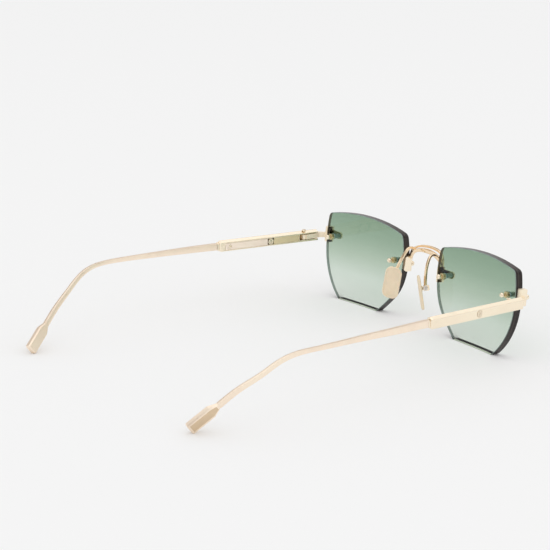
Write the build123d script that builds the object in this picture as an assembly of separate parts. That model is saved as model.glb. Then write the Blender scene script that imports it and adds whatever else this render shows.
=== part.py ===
"""Rimless sunglasses: two polygonal lenses, a double-bar bridge, rocking nose pads and folding temples.

The wearer's left is +X, the front faces -Y, and the glasses stand on the lens bottoms and the temple tips.
Each side is built once, for +X, in a front frame whose Y = 0 is the rear of the lens at its lower nasal corner.
"""
from build123d import *
import os
from math import cos, hypot, radians, sin, sqrt

# ---- driving dimensions, millimetres and degrees ----
ORIGIN_BEHIND_LENS = 71.88     # from the front frame's Y = 0 back to the middle of the folded-out glasses

LENS_CENTRE = Vector(36.76, -2.47, 18.9)
LENS_TILT = 6.2                # top leans forward
LENS_WRAP = 2.7                # temporal side swept back
LENS_CURVE_RADIUS = 228.0      # rear surface
LENS_THICKNESS = 3.6
LENS_BOTTOM = -19.3            # in the lens's own plane, trimmed flat by the floor
LENS_CORNER_RADIUS = 1.9

PIN_NASAL = (-20.6, 5.6)       # places of the fixings in the lens plane: towards the temple, and up
PIN_TEMPORAL = (21.3, 7.6)
NASAL_EDGE = -25.56            # the lens edge beside each fixing
TEMPORAL_EDGE = 25.46
EDGE_GAP = 0.12
SCREW_RADIUS = 0.58
SCREW_HEAD_RIM = 0.35
SCREW_HEAD_DEPTH = 0.45
BUSH_RADIUS = 1.05
BUSH_FLANGE_RADIUS = 1.35
BUSH_FLANGE = 0.5
NUT_ACROSS_FLATS = 2.5
NUT_THICKNESS = 1.45
DOME_RADIUS = 1.08
DOME_BEHIND_LENS = 3.45
SLIP = 0.03                    # radial clearance of parts that fit over each other
LUG_HALF_HEIGHT = 1.5
LUG_THICKNESS = 0.7
NASAL_PLATE_THICKNESS = 0.95
TEMPORAL_PLATE_THICKNESS = 1.9
PLATE_BEHIND_CENTRE = 0.7      # how far the edge plates reach back past the lens centre's rear surface
PLATE_PROUD = 0.65             # of the lens's front surface
NASAL_PLATE_CENTRE = 4.9
NASAL_PLATE_HEIGHT = 6.4
TEMPORAL_PLATE_HEIGHT = 6.9
SHOULDER_REACH = 1.2           # the plates' hooks over the lens's front edge
SHOULDER_HALF_HEIGHT = 1.9
TRIM_HEAD_RADIUS = 1.05
TRIM_HEAD_HEIGHT = 1.4
TRIM_SHANK_RADIUS = 0.45
TRIM_SHANK_LENGTH = 0.9

BOX_FRONT_AXIS = Vector(67.3, 0, 25.7)
BOX_SPLAY = 0.077              # outward per unit length
BOX_RISE = 0.0255              # upward per unit length
BOX_START = 1.3
BOX_END = 51.5
BOX_HALF_THICKNESS = 1.5
BOX_WALL = 0.55
BOX_LOW_OUTER = -2.3           # heights of the section's corners from the box axis
BOX_LOW_INNER = -2.1
BOX_SHOULDER = 1.45
BOX_RIDGE = 2.6
BOX_RIDGE_OFFSET = 0.35
BOX_HIGH_INNER = 1.8
HINGE_WINDOW_END = 10.9
WINDOW_SILL = 0.4
INLAY_END = 24.1
BOX_SCREW_HEIGHT = -0.15
BOX_SCREW_AT = 25.7
BOX_SCREW_HEAD_RADIUS = 1.25
COVER_START = 27.4
COVER_END = 48.7
COVER_SCREW_AT = 46.4
PANEL_THICKNESS = 0.5

HINGE_X = 67.65
HINGE_Y = 8.0
HINGE_PIN_RADIUS = 0.5
HINGE_CLEARANCE = 0.05
KNUCKLE_RADIUS = 1.05
KNUCKLE_LOW = 24.75
KNUCKLE_HIGH = 26.85
HINGE_PIN_LOW = 23.7
HINGE_PIN_HEAD = 28.55

PAD_CENTRE = Vector(9.55, 4.4, 17.2)
PAD_NORMAL = Vector(-0.543, 0.825, -0.137).normalized()
PAD_DOWN = Vector(0.244, 0.0, -0.97).normalized()
PAD_LENGTH = 14.6
PAD_WIDTH = 7.2
PAD_THICKNESS = 1.0
PAD_RIM = 0.55
PAD_PIVOT_BACK = 1.6           # from the pad's back face to the rocking axis
PAD_PIVOT_UP = 1.6
PAD_PIN_RADIUS = 0.4
PAD_BOX_HALF_WIDTH = 1.25
PAD_TONGUE = 0.8
PAD_TONGUE_RADIUS = 0.8

LOWER_BAR_LINE = [(0, -6.7, 31.3), (3.8, -6.65, 31.0), (7.4, -6.5, 29.9), (9.5, -6.35, 28.3), (10.4, -6.2, 26.3)]
UPPER_BAR_LINE = [(0, -9.0, 32.6), (4.0, -8.8, 32.35), (7.6, -8.05, 31.5), (9.8, -7.0, 29.8), (10.45, -6.5, 27.4)]
PAD_ARM_LINE = [(7.9, -6.4, 30.5), (7.6, -4.9, 31.5), (7.45, -3.0, 31.6), (7.7, -1.2, 29.9), (8.6, 0.8, 26.1),
                (9.5, 1.9, 22.6), (10.2, 2.45, 20.0)]

WIRE_LINE = [(71.35, 52.0, 27.1), (72.0, 60.0, 27.3), (72.85, 71.0, 27.5), (73.65, 86.0, 27.75), (74.35, 98.0, 27.85),
             (74.3, 107.0, 27.75), (73.1, 114.2, 27.05), (71.3, 120.6, 24.8), (69.0, 127.4, 20.3),
             (65.75, 135.0, 15.4), (62.75, 141.9, 9.8)]
WIRE_SIZES = [(1.9, 3.0), (1.75, 2.7), (1.55, 2.3), (1.4, 1.9), (1.35, 1.65), (1.4, 1.75), (1.5, 1.95), (1.6, 2.2)]
TANG_LENGTH = 8.5
TIP_START = Vector(62.75, 141.9, 9.8)
TIP_AXIS = Vector(-0.3187, 0.7304, -0.6044).normalized()
TIP_LENGTH = 13.65
TIP_WIDTH = 4.9
TIP_THICKNESS = 2.5
TIP_FLARE = 3.6
TIP_BEVEL = 0.45
TIP_END_BEVEL = 0.4
TIP_PANEL_HALF_WIDTH = 1.5
TIP_PANEL_DEPTH = 0.3
TIP_PANEL_LEAD = 0.4            # how far the panel runs up into the flare
TIP_PANEL_FRAME = 0.9

os.makedirs("parts", exist_ok=True)


def unit(x, y, z):
    return Vector(x, y, z).normalized()


# ---- frames ----
tilt_sin, tilt_cos = sin(radians(LENS_TILT)), cos(radians(LENS_TILT))
wrap_sin, wrap_cos = sin(radians(LENS_WRAP)), cos(radians(LENS_WRAP))
LENS_ALONG = Vector(wrap_cos, wrap_sin, 0)
LENS_FORWARD = Vector(tilt_cos * wrap_sin, -tilt_cos * wrap_cos, -tilt_sin)
LENS_PLANE = Plane(origin=LENS_CENTRE, x_dir=LENS_ALONG, z_dir=LENS_FORWARD)
CURVE_CENTRE = LENS_CENTRE - LENS_FORWARD * LENS_CURVE_RADIUS
BOX_AXIS = unit(BOX_SPLAY, 1, BOX_RISE)
BOX_OUT = unit(1, -BOX_SPLAY, 0)
BOX_PLANE = Plane(origin=BOX_FRONT_AXIS, x_dir=BOX_OUT, z_dir=BOX_OUT.cross(BOX_AXIS))
PAD_ACROSS = PAD_DOWN.cross(PAD_NORMAL)
PAD_PLANE = Plane(origin=PAD_CENTRE, x_dir=PAD_ACROSS, z_dir=PAD_NORMAL)
PAD_PIVOT = PAD_CENTRE - PAD_NORMAL * (PAD_THICKNESS / 2 + PAD_PIVOT_BACK) - PAD_DOWN * PAD_PIVOT_UP


def pin_plane(place, towards):
    """Frame of a lens fixing: origin on the rear surface, Z forward along the surface's normal."""
    along, up = place
    depth = sqrt(LENS_CURVE_RADIUS**2 - along**2 - up**2) - LENS_CURVE_RADIUS
    origin = LENS_PLANE.from_local_coords(Vector(along, up, depth))
    return Plane(origin=origin, x_dir=LENS_ALONG * towards, z_dir=(origin - CURVE_CENTRE).normalized())


NASAL_PIN = pin_plane(PIN_NASAL, -1)
TEMPORAL_PIN = pin_plane(PIN_TEMPORAL, 1)


# ---- small builders ----
def rod(plane, radius, low, high):
    """A round bar along a frame's Z axis between two heights."""
    return plane * Pos(0, 0, (low + high) / 2) * Cylinder(radius, high - low)


def block(plane, x_range, y_range, z_range):
    """A box given by its ranges in a frame."""
    (x0, x1), (y0, y1), (z0, z1) = x_range, y_range, z_range
    centre = Pos((x0 + x1) / 2, (y0 + y1) / 2, (z0 + z1) / 2)
    return plane * centre * Box(x1 - x0, y1 - y0, z1 - z0)


def bar(points, sizes, side, bevel=0.3, sections_per_size=3):
    """A bevelled rectangular bar lofted along a smooth line; each size is (along side, across it)."""
    path = Spline(*points)
    count = sections_per_size * (len(sizes) - 1) + 1
    sections = []
    for index in range(count):
        along = index / (count - 1)
        tangent = path.tangent_at(along)
        across = (side - tangent * side.dot(tangent)).normalized()
        plane = Plane(origin=path.position_at(along), x_dir=across, z_dir=tangent)
        before, blend = divmod(index, sections_per_size)
        after = min(before + 1, len(sizes) - 1)
        blend = blend / sections_per_size
        w, h = [(near + (far - near) * blend) / 2 for near, far in zip(sizes[before], sizes[after])]
        cut = 2 * bevel * min(w, h)
        corners = [(w, h - cut), (w - cut, h), (cut - w, h), (-w, h - cut),
                   (-w, cut - h), (cut - w, -h), (w - cut, -h), (w, cut - h)]
        sections.append(plane * make_face(Polyline(*corners, close=True)))
    return loft(sections)


# ---- lens and its fixings ----
def lens_outline():
    """Seven-sided outline with softly bowed sides, in the lens plane."""
    nasal_top, nasal_side = (-24.0, 17.15), (-25.2, 2.3)
    nasal_turn, nasal_foot = (-19.7, -10.9), (-10.9, LENS_BOTTOM)
    temple_foot, temple_turn, temple_top = (14.1, LENS_BOTTOM), (25.31, 1.7), (24.25, 17.85)
    edges = [
        ThreePointArc(nasal_top, (-25.56, 8.2), nasal_side),
        ThreePointArc(nasal_side, (-23.45, -4.9), nasal_turn),
        ThreePointArc(nasal_turn, (-15.45, -15.15), nasal_foot),
        Line(nasal_foot, temple_foot),
        ThreePointArc(temple_foot, (21.75, -10.2), temple_turn),
        ThreePointArc(temple_turn, (25.4, 10.0), temple_top),
        ThreePointArc(temple_top, (1.0, 20.2), nasal_top),
    ]
    face = make_face(edges)
    tops = face.vertices().filter_by(lambda corner: corner.Y > 16)
    return fillet(tops, LENS_CORNER_RADIUS)


def make_lens():
    reach = 9.0
    blank = extrude(LENS_PLANE * lens_outline(), amount=reach, dir=LENS_FORWARD, both=True)
    curve = Pos(*CURVE_CENTRE)
    shell = curve * Sphere(LENS_CURVE_RADIUS + LENS_THICKNESS) - curve * Sphere(LENS_CURVE_RADIUS)
    lens = blank & shell
    floor_cut = Pos(LENS_CENTRE.X, LENS_CENTRE.Y, -reach) * Box(80, 40, 2 * reach)
    lens = lens - floor_cut
    for plane in (NASAL_PIN, TEMPORAL_PIN):
        lens = lens - rod(plane, BUSH_RADIUS + SLIP, -1, LENS_THICKNESS + 1)
    return lens


def bushing(plane):
    """Clear sleeve through the lens with a washer flange on the rear surface."""
    sleeve = rod(plane, BUSH_RADIUS, -SLIP, LENS_THICKNESS - SLIP)
    flange = rod(plane, BUSH_FLANGE_RADIUS, -SLIP - BUSH_FLANGE, -SLIP)
    return sleeve + flange - rod(plane, SCREW_RADIUS + SLIP, -2, LENS_THICKNESS + 1)


def hex_nut(plane):
    bottom = -SLIP - BUSH_FLANGE - NUT_THICKNESS
    hexagon = RegularPolygon(NUT_ACROSS_FLATS / 2, 6, major_radius=False)
    nut = extrude(plane * Pos(0, 0, bottom) * hexagon, amount=NUT_THICKNESS, dir=plane.z_dir)
    nut = nut & rod(plane, NUT_ACROSS_FLATS * 0.555, bottom, bottom + NUT_THICKNESS)
    return nut - rod(plane, SCREW_RADIUS + SLIP, bottom - 1, 0)


def lens_screw(plane):
    """Headed screw from the front lug, ending behind the nut in a dimpled dome."""
    head_seat = LENS_THICKNESS + SLIP + LUG_THICKNESS - SCREW_HEAD_DEPTH
    shank = rod(plane, SCREW_RADIUS, -DOME_BEHIND_LENS, head_seat)
    head = rod(plane, SCREW_RADIUS + SCREW_HEAD_RIM, head_seat, head_seat + SCREW_HEAD_DEPTH)
    dome = plane * Pos(0, 0, -DOME_BEHIND_LENS) * Sphere(DOME_RADIUS)
    dimple = plane * Pos(0, 0, -DOME_BEHIND_LENS - DOME_RADIUS - 0.1) * Sphere(0.38)
    return shank + head + dome - dimple


def front_height(edge, up):
    """Front surface of the lens above the lens plane's origin."""
    return sqrt((LENS_CURVE_RADIUS + LENS_THICKNESS)**2 - edge**2 - up**2) - LENS_CURVE_RADIUS


def lug_with_plate(plane, place, edge, thickness, centre, height):
    """Front lug over a lens fixing, joined to a plate that wraps the lens edge."""
    side = 1 if edge > 0 else -1
    low = LENS_THICKNESS + 2 * SLIP
    head_seat = LENS_THICKNESS + SLIP + LUG_THICKNESS - SCREW_HEAD_DEPTH
    outer = edge + side * (EDGE_GAP + thickness)
    reach = abs(outer - place[0]) - 0.35
    tongue = Pos(reach / 2, 0) * Rectangle(reach, 2 * LUG_HALF_HEIGHT) + Circle(LUG_HALF_HEIGHT)
    lug = extrude(plane * Pos(0, 0, low) * tongue, amount=LUG_THICKNESS, dir=plane.z_dir)
    front = front_height(edge, centre)
    plate = block(LENS_PLANE, sorted((edge + side * EDGE_GAP, outer)),
                  (centre - height / 2, centre + height / 2), (-PLATE_BEHIND_CENTRE, front + PLATE_PROUD))
    plate = fillet(plate.edges().filter_by(Axis(LENS_CENTRE, LENS_ALONG)), 0.5)
    inner, foot = edge - side * SHOULDER_REACH, centre - SHOULDER_HALF_HEIGHT
    shoulder = block(LENS_PLANE, sorted((inner, outer)), (foot, centre + SHOULDER_HALF_HEIGHT),
                     (front_height(inner, foot) + SLIP, front + PLATE_PROUD))
    whole = plate + lug + shoulder
    whole = whole - rod(plane, SCREW_RADIUS + SLIP, 0, low + 5)
    return whole - rod(plane, SCREW_RADIUS + SCREW_HEAD_RIM + SLIP, head_seat - SLIP, low + 5)


def trim_plane(edge, inset, height):
    """Seat of a decorative screw on the front of an edge plate."""
    front = front_height(edge, height) + PLATE_PROUD
    seat = LENS_PLANE.from_local_coords(Vector(edge + inset, height, front))
    return Plane(origin=seat, x_dir=LENS_ALONG, z_dir=LENS_FORWARD)


NASAL_TRIM = trim_plane(NASAL_EDGE, -0.35, NASAL_PLATE_CENTRE)
TEMPORAL_TRIM = trim_plane(TEMPORAL_EDGE, 1.05, PIN_TEMPORAL[1])


def trim_screw(plane):
    head = Pos(0, 0, TRIM_HEAD_HEIGHT / 2) * Cylinder(TRIM_HEAD_RADIUS, TRIM_HEAD_HEIGHT)
    head = plane * fillet(head.edges().filter_by(GeomType.CIRCLE).sort_by(Axis.Z)[-1], 0.4)
    shank = rod(plane, TRIM_SHANK_RADIUS, -TRIM_SHANK_LENGTH, 0.2)
    return head + shank


def trim_hole(plane):
    """Space of a decorative screw: its shank's bore and the room of its head."""
    bore = rod(plane, TRIM_SHANK_RADIUS + SLIP, -TRIM_SHANK_LENGTH - SLIP, 1)
    return bore + rod(plane, TRIM_HEAD_RADIUS + SLIP, 0, TRIM_HEAD_HEIGHT)


# ---- endpiece, hinge and temple box ----
def make_endpiece():
    """Temporal lug and plate with the arm that ends in the hinge's middle knuckle."""
    body = lug_with_plate(TEMPORAL_PIN, PIN_TEMPORAL, TEMPORAL_EDGE, TEMPORAL_PLATE_THICKNESS,
                          PIN_TEMPORAL[1], TEMPORAL_PLATE_HEIGHT)
    body = body - trim_hole(TEMPORAL_TRIM)
    height = KNUCKLE_HIGH - KNUCKLE_LOW
    middle = (KNUCKLE_HIGH + KNUCKLE_LOW) / 2
    root_x = LENS_CENTRE.X + TEMPORAL_EDGE + EDGE_GAP + 0.8
    outline = [(root_x, -3.4), (root_x + 2.0, -3.2), (68.1, -0.6), (HINGE_X + 0.75, HINGE_Y - 0.6),
               (HINGE_X - 1.4, HINGE_Y - 0.5), (66.05, 0.6), (root_x + 1.7, -1.5), (root_x, -1.7)]
    arm = extrude(Pos(0, 0, KNUCKLE_LOW) * make_face(Polyline(*outline, close=True)), amount=height)
    knuckle = Pos(HINGE_X, HINGE_Y, middle) * Cylinder(KNUCKLE_RADIUS, height)
    bore = Pos(HINGE_X, HINGE_Y, middle) * Cylinder(HINGE_PIN_RADIUS + HINGE_CLEARANCE, 2 * height)
    return body + arm + knuckle - bore


def box_section(inset=0.0):
    """Section of the temple box: flat outer face, bevelled shoulder, ridge and a shorter inner face."""
    out = BOX_HALF_THICKNESS - inset
    low, high = BOX_LOW_OUTER + inset, BOX_RIDGE - inset
    corners = [(out, low + 0.3), (out - 0.3, low), (-out, BOX_LOW_INNER + inset),
               (-out, BOX_HIGH_INNER - inset), (BOX_RIDGE_OFFSET, high), (out, BOX_SHOULDER - inset)]
    return make_face(Polyline(*corners, close=True))


def box_cross_plane(distance):
    """Plane across the temple box at a distance from its origin, with x outward and y up."""
    origin = BOX_PLANE.from_local_coords(Vector(0, distance, 0))
    return Plane(origin=origin, x_dir=BOX_OUT, z_dir=BOX_AXIS * -1)


def along_box(start, end, inset=0.0):
    return extrude(box_cross_plane(start) * box_section(inset), amount=end - start, dir=BOX_AXIS)


def box_side_plane(distance, height=0.0):
    """Frame of a screw through the temple box: Z outward."""
    origin = BOX_PLANE.from_local_coords(Vector(0, distance, height))
    return Plane(origin=origin, x_dir=BOX_AXIS, z_dir=BOX_OUT)


def make_temple_box():
    """Outer shell of the temple front: a channel open towards the wearer, with the outer hinge knuckles."""
    end_taper = 0.6
    shell = along_box(BOX_START, BOX_END - end_taper)
    shell = shell + loft([box_cross_plane(BOX_END - end_taper) * box_section(),
                          box_cross_plane(BOX_END) * box_section(0.45)])
    inner_wall = BOX_HALF_THICKNESS - BOX_WALL
    cavity_low, cavity_top = BOX_LOW_INNER + BOX_WALL, BOX_HIGH_INNER - BOX_WALL
    outside = -BOX_HALF_THICKNESS - 1
    channel = (HINGE_WINDOW_END + WINDOW_SILL, COVER_END)
    cavity = block(BOX_PLANE, (outside, inner_wall), channel, (cavity_low, cavity_top))
    hinge_low = KNUCKLE_LOW - BOX_FRONT_AXIS.Z - 0.4
    hinge_high = KNUCKLE_HIGH - BOX_FRONT_AXIS.Z + 0.2
    window = block(BOX_PLANE, (outside, inner_wall), (0, HINGE_WINDOW_END), (hinge_low, hinge_high))
    pin_hole = Pos(HINGE_X, HINGE_Y, BOX_FRONT_AXIS.Z) * Cylinder(HINGE_PIN_RADIUS + SLIP, 12)
    wire_hole = block(BOX_PLANE, (-0.63, 0.63), (COVER_END - 1, BOX_END + 1), (-1.03, 1.03))
    screw_seat = box_side_plane(BOX_SCREW_AT, BOX_SCREW_HEIGHT)
    screw_hole = rod(screw_seat, 0.73, -3, 3)
    screw_recess = rod(screw_seat, BOX_SCREW_HEAD_RADIUS + 0.15, BOX_HALF_THICKNESS - 0.32, 3)
    return shell - cavity - window - pin_hole - wire_hole - screw_hole - screw_recess


def make_hinge_pin():
    """Headed pin through the box's two outer knuckles and the endpiece's middle one."""
    low, high = HINGE_PIN_LOW, HINGE_PIN_HEAD
    pin = Pos(HINGE_X, HINGE_Y, (low + high) / 2) * Cylinder(HINGE_PIN_RADIUS, high - low)
    head = Pos(HINGE_X, HINGE_Y, high + 0.25) * Cylinder(0.85, 0.5)
    slot = Pos(HINGE_X, HINGE_Y, high + 0.5) * Box(2, 0.25, 0.4)
    return pin + head - slot


def make_box_inlay():
    """Recessed decorative panel in the inner face, ahead of the through screw."""
    height = (BOX_LOW_INNER + BOX_WALL + SLIP, BOX_HIGH_INNER - BOX_WALL - SLIP)
    depth = (-BOX_HALF_THICKNESS + 0.15, -BOX_HALF_THICKNESS + 0.15 + PANEL_THICKNESS)
    return block(BOX_PLANE, depth, (HINGE_WINDOW_END + WINDOW_SILL + SLIP, INLAY_END), height)


def make_box_cover():
    """Inner cover behind the through screw, with a countersunk hole for its own small screw."""
    height = (BOX_LOW_INNER + BOX_WALL + SLIP, BOX_HIGH_INNER - BOX_WALL - SLIP)
    depth = (-BOX_HALF_THICKNESS, -BOX_HALF_THICKNESS + PANEL_THICKNESS)
    cover = block(BOX_PLANE, depth, (COVER_START, COVER_END - SLIP), height)
    seat = box_side_plane(COVER_SCREW_AT, (height[0] + height[1]) / 2)
    cover = cover - rod(seat, 0.4 + SLIP, -3, 0)
    return cover - rod(seat, 0.75 + SLIP, -3, -BOX_HALF_THICKNESS + 0.25)


def make_box_screw():
    """Through screw with a cross-slotted head sunk in the outer face."""
    plane = box_side_plane(BOX_SCREW_AT, BOX_SCREW_HEIGHT)
    head_low = BOX_HALF_THICKNESS - 0.3
    shank = rod(plane, 0.7, -BOX_HALF_THICKNESS + 0.1, head_low)
    head = rod(plane, BOX_SCREW_HEAD_RADIUS, head_low, BOX_HALF_THICKNESS + 0.05)
    slot_depth = (BOX_HALF_THICKNESS - 0.15, BOX_HALF_THICKNESS + 1)
    cross = block(plane, (-0.8, 0.8), (-0.14, 0.14), slot_depth) + block(plane, (-0.14, 0.14), (-0.8, 0.8), slot_depth)
    return shank + head - cross


def make_box_ring():
    """Ring nut that takes the through screw on the wearer's side."""
    plane = box_side_plane(BOX_SCREW_AT, BOX_SCREW_HEIGHT)
    ring = rod(plane, 1.36, -BOX_HALF_THICKNESS, -BOX_HALF_THICKNESS + 1.0)
    return ring - rod(plane, 0.7 + SLIP, -3, 0)


def make_cover_screw():
    mid_height = (BOX_LOW_INNER + BOX_HIGH_INNER) / 2
    plane = box_side_plane(COVER_SCREW_AT, mid_height)
    head = rod(plane, 0.75, -BOX_HALF_THICKNESS + 0.02, -BOX_HALF_THICKNESS + 0.22)
    shank = rod(plane, 0.4, -BOX_HALF_THICKNESS + 0.22, 0.3)
    slot = block(plane, (-1, 1), (-0.1, 0.1), (-3, -BOX_HALF_THICKNESS + 0.12))
    return head + shank - slot


# ---- temple wire and tip ----
def make_wire_collar():
    """Thin stepped collar where the wire leaves the box."""
    low, high = BOX_END + SLIP, BOX_END + 0.9
    collar = extrude(box_cross_plane(low) * box_section(0.62), amount=high - low, dir=BOX_AXIS)
    return collar - block(BOX_PLANE, (-0.63, 0.63), (low - 1, high + 1), (-1.03, 1.03))


def make_temple_wire():
    """Tapering bevelled wire that bends down behind the ear, with a flat tang held inside the box."""
    wire = bar(WIRE_LINE, WIRE_SIZES, Vector(1, 0, 0), bevel=0.2) - make_tip_blank()
    tang = block(BOX_PLANE, (-0.6, 0.6), (COVER_END - TANG_LENGTH, BOX_END + 1.4), (-1.0, 1.0))
    collar_zone = block(BOX_PLANE, (-3, 3), (BOX_END - 2, BOX_END + 0.9 + SLIP), (-4, 4))
    seat = box_side_plane(COVER_SCREW_AT, (BOX_LOW_INNER + BOX_HIGH_INNER) / 2)
    return wire - collar_zone + tang - rod(seat, 0.4 + SLIP, -3, 3)


def tip_plane(distance):
    across = (Vector(1, 0, 0) - TIP_AXIS * TIP_AXIS.X).normalized()
    return Plane(origin=TIP_START + TIP_AXIS * distance, x_dir=across, z_dir=TIP_AXIS)


def tip_section(shrink=0.0, thick=TIP_THICKNESS, wide=TIP_WIDTH):
    t, w = thick / 2 - shrink, wide / 2 - shrink
    corners = [(t, TIP_BEVEL - w), (t, w - TIP_BEVEL), (t - TIP_BEVEL, w), (TIP_BEVEL - t, w),
               (-t, w - TIP_BEVEL), (-t, TIP_BEVEL - w), (TIP_BEVEL - t, -w), (t - TIP_BEVEL, -w)]
    return make_face(Polyline(*corners, close=True))


def make_tip_blank():
    slim = tip_plane(SLIP) * tip_section(thick=1.65, wide=2.25)
    flare = loft([slim, tip_plane(TIP_FLARE) * tip_section()])
    straight = TIP_LENGTH - TIP_FLARE - TIP_END_BEVEL
    body = extrude(tip_plane(TIP_FLARE) * tip_section(), amount=straight, dir=TIP_AXIS)
    end = loft([tip_plane(TIP_LENGTH - TIP_END_BEVEL) * tip_section(),
                tip_plane(TIP_LENGTH) * tip_section(TIP_END_BEVEL)])
    return flare + body + end


def tip_recess():
    """The shallow pocket in the outer face of the tip."""
    face, half = TIP_THICKNESS / 2, TIP_PANEL_HALF_WIDTH
    lengthwise = (TIP_FLARE - TIP_PANEL_LEAD, TIP_LENGTH - TIP_PANEL_FRAME)
    return block(tip_plane(0), (face - TIP_PANEL_DEPTH, face + 1), (-half, half), lengthwise)


def make_tip():
    floor_cut = Pos(TIP_START.X, TIP_START.Y, -5) * Box(40, 40, 10)
    return make_tip_blank() - tip_recess() - floor_cut


def make_tip_inlay():
    """Thin plate that fills the tip's pocket, just below the surface around it."""
    face, half = TIP_THICKNESS / 2, TIP_PANEL_HALF_WIDTH - SLIP
    lengthwise = (TIP_FLARE - TIP_PANEL_LEAD + SLIP, TIP_LENGTH - TIP_PANEL_FRAME - SLIP)
    return block(tip_plane(0), (face - TIP_PANEL_DEPTH, face - 0.12), (-half, half), lengthwise)


# ---- bridge, pad arms and nose pads ----
def both_ways(half):
    """A left half-line, or its sizes, continued through the middle to the wearer's right."""
    right = [(-x, y, z) for x, y, z in half[:0:-1]] if len(half[0]) == 3 else half[:0:-1]
    return right + half


def make_nasal_plate():
    body = lug_with_plate(NASAL_PIN, PIN_NASAL, NASAL_EDGE, NASAL_PLATE_THICKNESS,
                          NASAL_PLATE_CENTRE, NASAL_PLATE_HEIGHT)
    return body - trim_hole(NASAL_TRIM)


def make_lower_bar(plates):
    sizes = [(1.8, 1.5), (1.6, 1.45), (1.4, 1.4), (1.3, 1.4), (1.4, 1.6)]
    return bar(both_ways(LOWER_BAR_LINE), both_ways(sizes), Vector(0, 1, 0), bevel=0.2) - plates


def make_upper_bar(plates, lower):
    sizes = [(1.15, 1.0), (1.15, 1.0), (1.1, 0.95), (1.05, 0.95), (1.0, 0.9)]
    return bar(both_ways(UPPER_BAR_LINE), both_ways(sizes), Vector(0, 1, 0), bevel=0.2) - plates - lower


def make_pad_box():
    """Clevis on the end of the pad arm that holds the pad's tongue between two cheeks."""
    pivot = Plane(origin=PAD_PIVOT, x_dir=PAD_ACROSS, z_dir=PAD_NORMAL)
    half = PAD_BOX_HALF_WIDTH
    outer = block(pivot, (-half, half), (-1.15, 1.15), (-1.75, 0.75))
    outer = fillet(outer.edges().filter_by(Axis(PAD_PIVOT, PAD_ACROSS)), 0.5)
    slot_half = PAD_TONGUE / 2 + 0.06
    slot = block(pivot, (-slot_half, slot_half), (-2, 2), (-PAD_TONGUE_RADIUS - 0.2, 2))
    return outer - slot - rod(pad_pin_plane(), PAD_PIN_RADIUS + SLIP, -3, 3)


def pad_pin_plane():
    return Plane(origin=PAD_PIVOT, x_dir=PAD_NORMAL, z_dir=PAD_ACROSS)


def make_pad_screw():
    plane = pad_pin_plane()
    half = PAD_BOX_HALF_WIDTH
    shank = rod(plane, PAD_PIN_RADIUS, -half, half + 0.05)
    head = rod(plane, 0.95, half + 0.02, half + 0.55)
    slot = block(plane, (-0.12, 0.12), (-2, 2), (half + 0.37, half + 2))
    return shank + head - slot


def make_pad_arm(others):
    arm = bar(PAD_ARM_LINE, [(1.15, 1.0)] * 9, Vector(1, 0, 0), bevel=0.2)
    return arm - others


def make_nose_pad():
    """Thin round-ended pad with a raised rim around its nose-side face."""
    outline = RectangleRounded(PAD_WIDTH, PAD_LENGTH, 2.9)
    field = RectangleRounded(PAD_WIDTH - 2 * PAD_RIM, PAD_LENGTH - 2 * PAD_RIM, 2.9 - PAD_RIM)
    pad = extrude(PAD_PLANE * Pos(0, 0, -PAD_THICKNESS / 2) * outline, amount=PAD_THICKNESS, dir=PAD_NORMAL)
    return pad - extrude(PAD_PLANE * Pos(0, 0, PAD_THICKNESS / 2 - 0.22) * field, amount=1, dir=PAD_NORMAL)


def make_pad_tongue():
    """Flat tongue on the pad's back, bored for the rocking screw."""
    pivot = Plane(origin=PAD_PIVOT, x_dir=PAD_ACROSS, z_dir=PAD_NORMAL)
    half = PAD_TONGUE / 2
    plate = block(pivot, (-half, half), (-PAD_TONGUE_RADIUS, PAD_TONGUE_RADIUS), (0, PAD_PIVOT_BACK))
    plate = plate + rod(pad_pin_plane(), PAD_TONGUE_RADIUS, -half, half)
    foot = block(pivot, (-0.9, 0.9), (-1.3, 1.3), (PAD_PIVOT_BACK - 0.35, PAD_PIVOT_BACK))
    return plate + foot - rod(pad_pin_plane(), PAD_PIN_RADIUS + HINGE_CLEARANCE, -3, 3)


# ---- assembly ----
def place(shape):
    return Pos(0, -ORIGIN_BEHIND_LENS, 0) * shape


def write(name, shape):
    export_step(place(shape), f"parts/{name}.step")


def group(shapes):
    return Compound(children=list(shapes))


def make_side():
    """Every piece of the wearer's left side, by name."""
    nasal_plate = make_nasal_plate()
    pad_box = make_pad_box()
    pins = (NASAL_PIN, TEMPORAL_PIN)
    return {
        "lens": make_lens(),
        "lens_bushings": group(bushing(pin) for pin in pins),
        "lens_nuts": group(hex_nut(pin) for pin in pins),
        "lens_screws": group(lens_screw(pin) for pin in pins),
        "nasal_plate": nasal_plate,
        "nasal_trim_screw": trim_screw(NASAL_TRIM),
        "endpiece": make_endpiece(),
        "temporal_trim_screw": trim_screw(TEMPORAL_TRIM),
        "hinge_pin": make_hinge_pin(),
        "temple_box": make_temple_box(),
        "box_inlay": make_box_inlay(),
        "box_cover": make_box_cover(),
        "box_screw": make_box_screw(),
        "box_ring_nut": make_box_ring(),
        "cover_screw": make_cover_screw(),
        "wire_collar": make_wire_collar(),
        "temple_wire": make_temple_wire(),
        "temple_tip": make_tip(),
        "tip_inlay": make_tip_inlay(),
        "pad_box": pad_box,
        "pad_screw": make_pad_screw(),
        "nose_pad": make_nose_pad(),
        "pad_tongue": make_pad_tongue(),
    }


def main():
    side = make_side()
    plates = side["nasal_plate"] + mirror(side["nasal_plate"], about=Plane.YZ)
    lower = make_lower_bar(plates)
    upper = make_upper_bar(plates, lower)
    side["pad_arm"] = make_pad_arm(side["pad_box"] + lower + upper + side["nasal_plate"])
    write("bridge_lower_bar", lower)
    write("bridge_upper_bar", upper)
    for name, shape in side.items():
        write("left_" + name, shape)
        write("right_" + name, mirror(shape, about=Plane.YZ))


main()
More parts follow.
